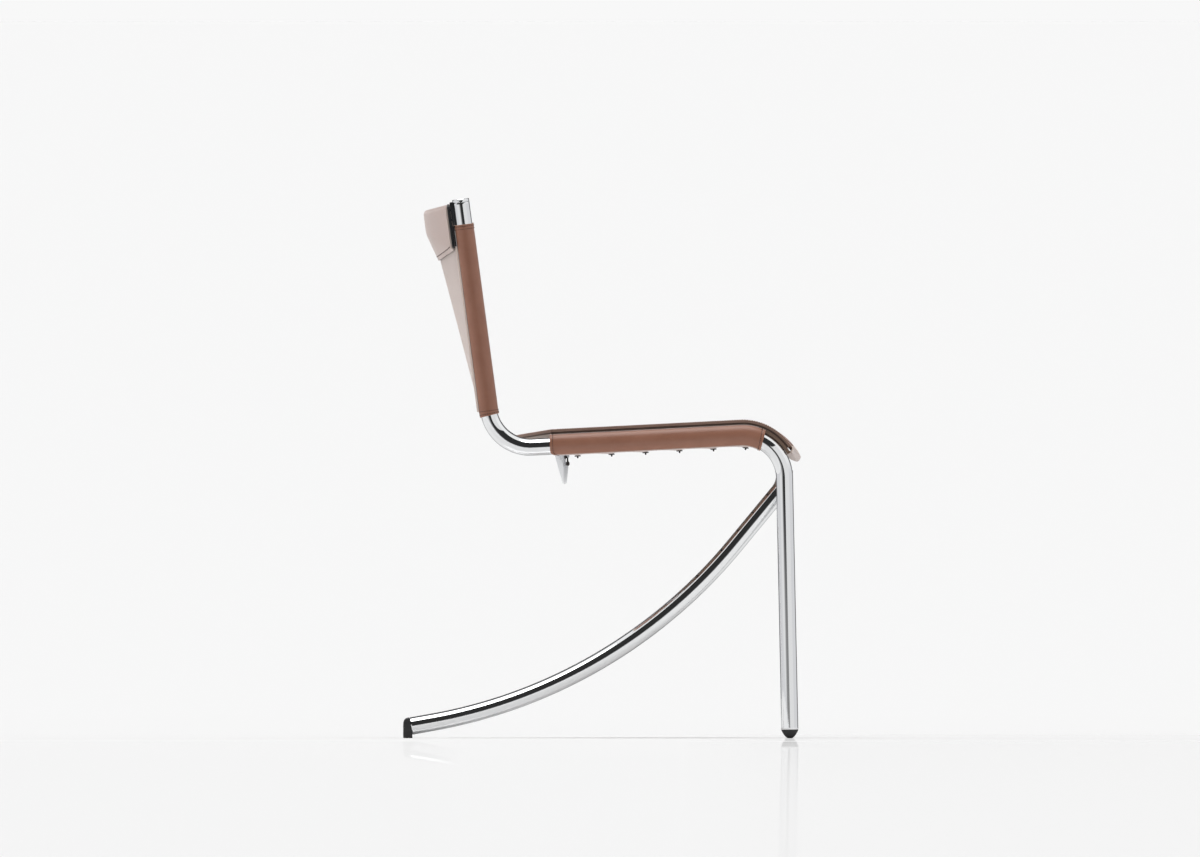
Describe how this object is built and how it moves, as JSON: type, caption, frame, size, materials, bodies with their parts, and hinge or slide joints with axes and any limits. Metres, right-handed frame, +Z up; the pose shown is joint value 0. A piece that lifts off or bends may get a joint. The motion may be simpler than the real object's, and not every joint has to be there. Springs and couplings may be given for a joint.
{
  "type": "side chair",
  "caption": "Side chair with a sling back and laced sling seat of saddle leather on a bent chromed tube frame, its rear legs curving forward to the front legs",
  "frame": {"origin": "on the floor under the middle of the chair's bounding box", "axes": "+X is the way the sitter faces, +Y is to the sitter's left, +Z is up"},
  "size_m": [0.5779, 0.4882, 0.789],
  "materials": {
    "chrome": "polished chrome plate on bent steel tube",
    "saddle_leather": "brown saddle leather with a low sheen, cut edges left natural",
    "lining_leather": "darker flesh side of the seat's lower ply",
    "rubber": "black moulded rubber, satin",
    "black_steel": "black lacquered steel, satin",
    "waxed_cord": "dark waxed cord"
  },
  "bodies": {
    "root": {"back_headband": "saddle_leather", "back_panel": "saddle_leather", "back_sleeve_left": "saddle_leather", "back_sleeve_right": "saddle_leather", "back_stiffener": "black_steel", "front_foot_left": "rubber", "front_foot_right": "rubber", "lacing_cord": "waxed_cord", "lacing_eyelet_left_1": "black_steel", "lacing_eyelet_left_2": "black_steel", "lacing_eyelet_left_3": "black_steel", "lacing_eyelet_left_4": "black_steel", "lacing_eyelet_left_5": "black_steel", "lacing_eyelet_left_6": "black_steel", "lacing_eyelet_right_1": "black_steel", "lacing_eyelet_right_2": "black_steel", "lacing_eyelet_right_3": "black_steel", "lacing_eyelet_right_4": "black_steel", "lacing_eyelet_right_5": "black_steel", "lacing_eyelet_right_6": "black_steel", "leg_cross_tube": "chrome", "rear_foot_left": "rubber", "rear_foot_right": "rubber", "rear_leg_cap_left": "chrome", "rear_leg_cap_right": "chrome", "rear_leg_left": "chrome", "rear_leg_right": "chrome", "seat_front_hem": "saddle_leather", "seat_front_stiffener": "black_steel", "seat_lining": "lining_leather", "seat_panel": "saddle_leather", "seat_sleeve_left": "saddle_leather", "seat_sleeve_right": "saddle_leather", "seat_stretcher": "chrome", "side_frame_left": "chrome", "side_frame_right": "chrome", "stiffener_screw_left_1": "black_steel", "stiffener_screw_left_2": "black_steel", "stiffener_screw_right_1": "black_steel", "stiffener_screw_right_2": "black_steel", "stiffener_spacer_left": "black_steel", "stiffener_spacer_right": "black_steel", "tube_cap_left": "chrome", "tube_cap_right": "chrome"}
  },
  "joints": []
}
